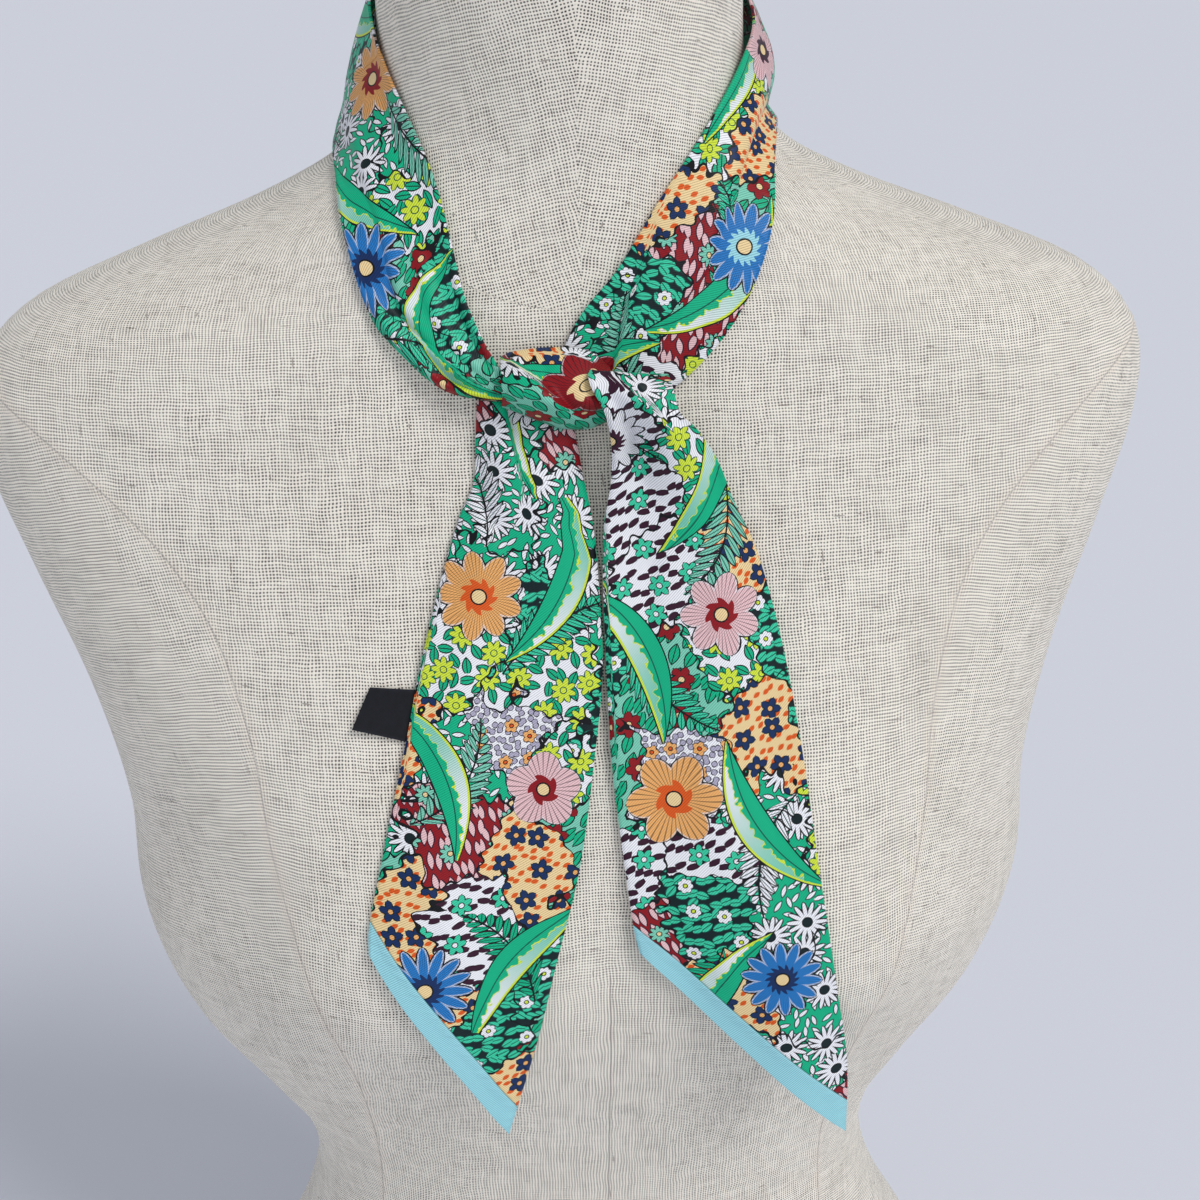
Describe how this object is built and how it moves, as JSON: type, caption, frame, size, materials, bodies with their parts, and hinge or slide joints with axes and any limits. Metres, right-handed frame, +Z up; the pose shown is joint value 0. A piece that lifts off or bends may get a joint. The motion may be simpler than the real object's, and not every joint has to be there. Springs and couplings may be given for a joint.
{
  "type": "skinny scarf on a dress form",
  "caption": "Long narrow floral scarf with slanted ends, looped round the neck of a linen covered torso form and tied in front in a half knot.",
  "frame": {"origin": "centre of the underside's level, below the middle of the whole part's box", "axes": "+Z up, the front of the form faces -Y, +X to the viewer's right in front of it"},
  "size_m": [0.3984, 0.24, 0.69],
  "materials": {
    "linen": "coarse plain woven natural linen with slubs, stretched over the form",
    "twill_print": "printed silky polyester twill in emerald green with flowers and leaves, pale blue ends",
    "label_tape": "plain black woven label tape"
  },
  "bodies": {
    "root": {"form_body": "linen", "form_neck": "linen", "scarf_collar_left": "twill_print", "scarf_collar_back": "twill_print", "scarf_collar_right": "twill_print", "scarf_knot_wrap": "twill_print", "scarf_tail_left": "twill_print", "scarf_tail_right": "twill_print", "care_label": "label_tape"}
  },
  "joints": []
}
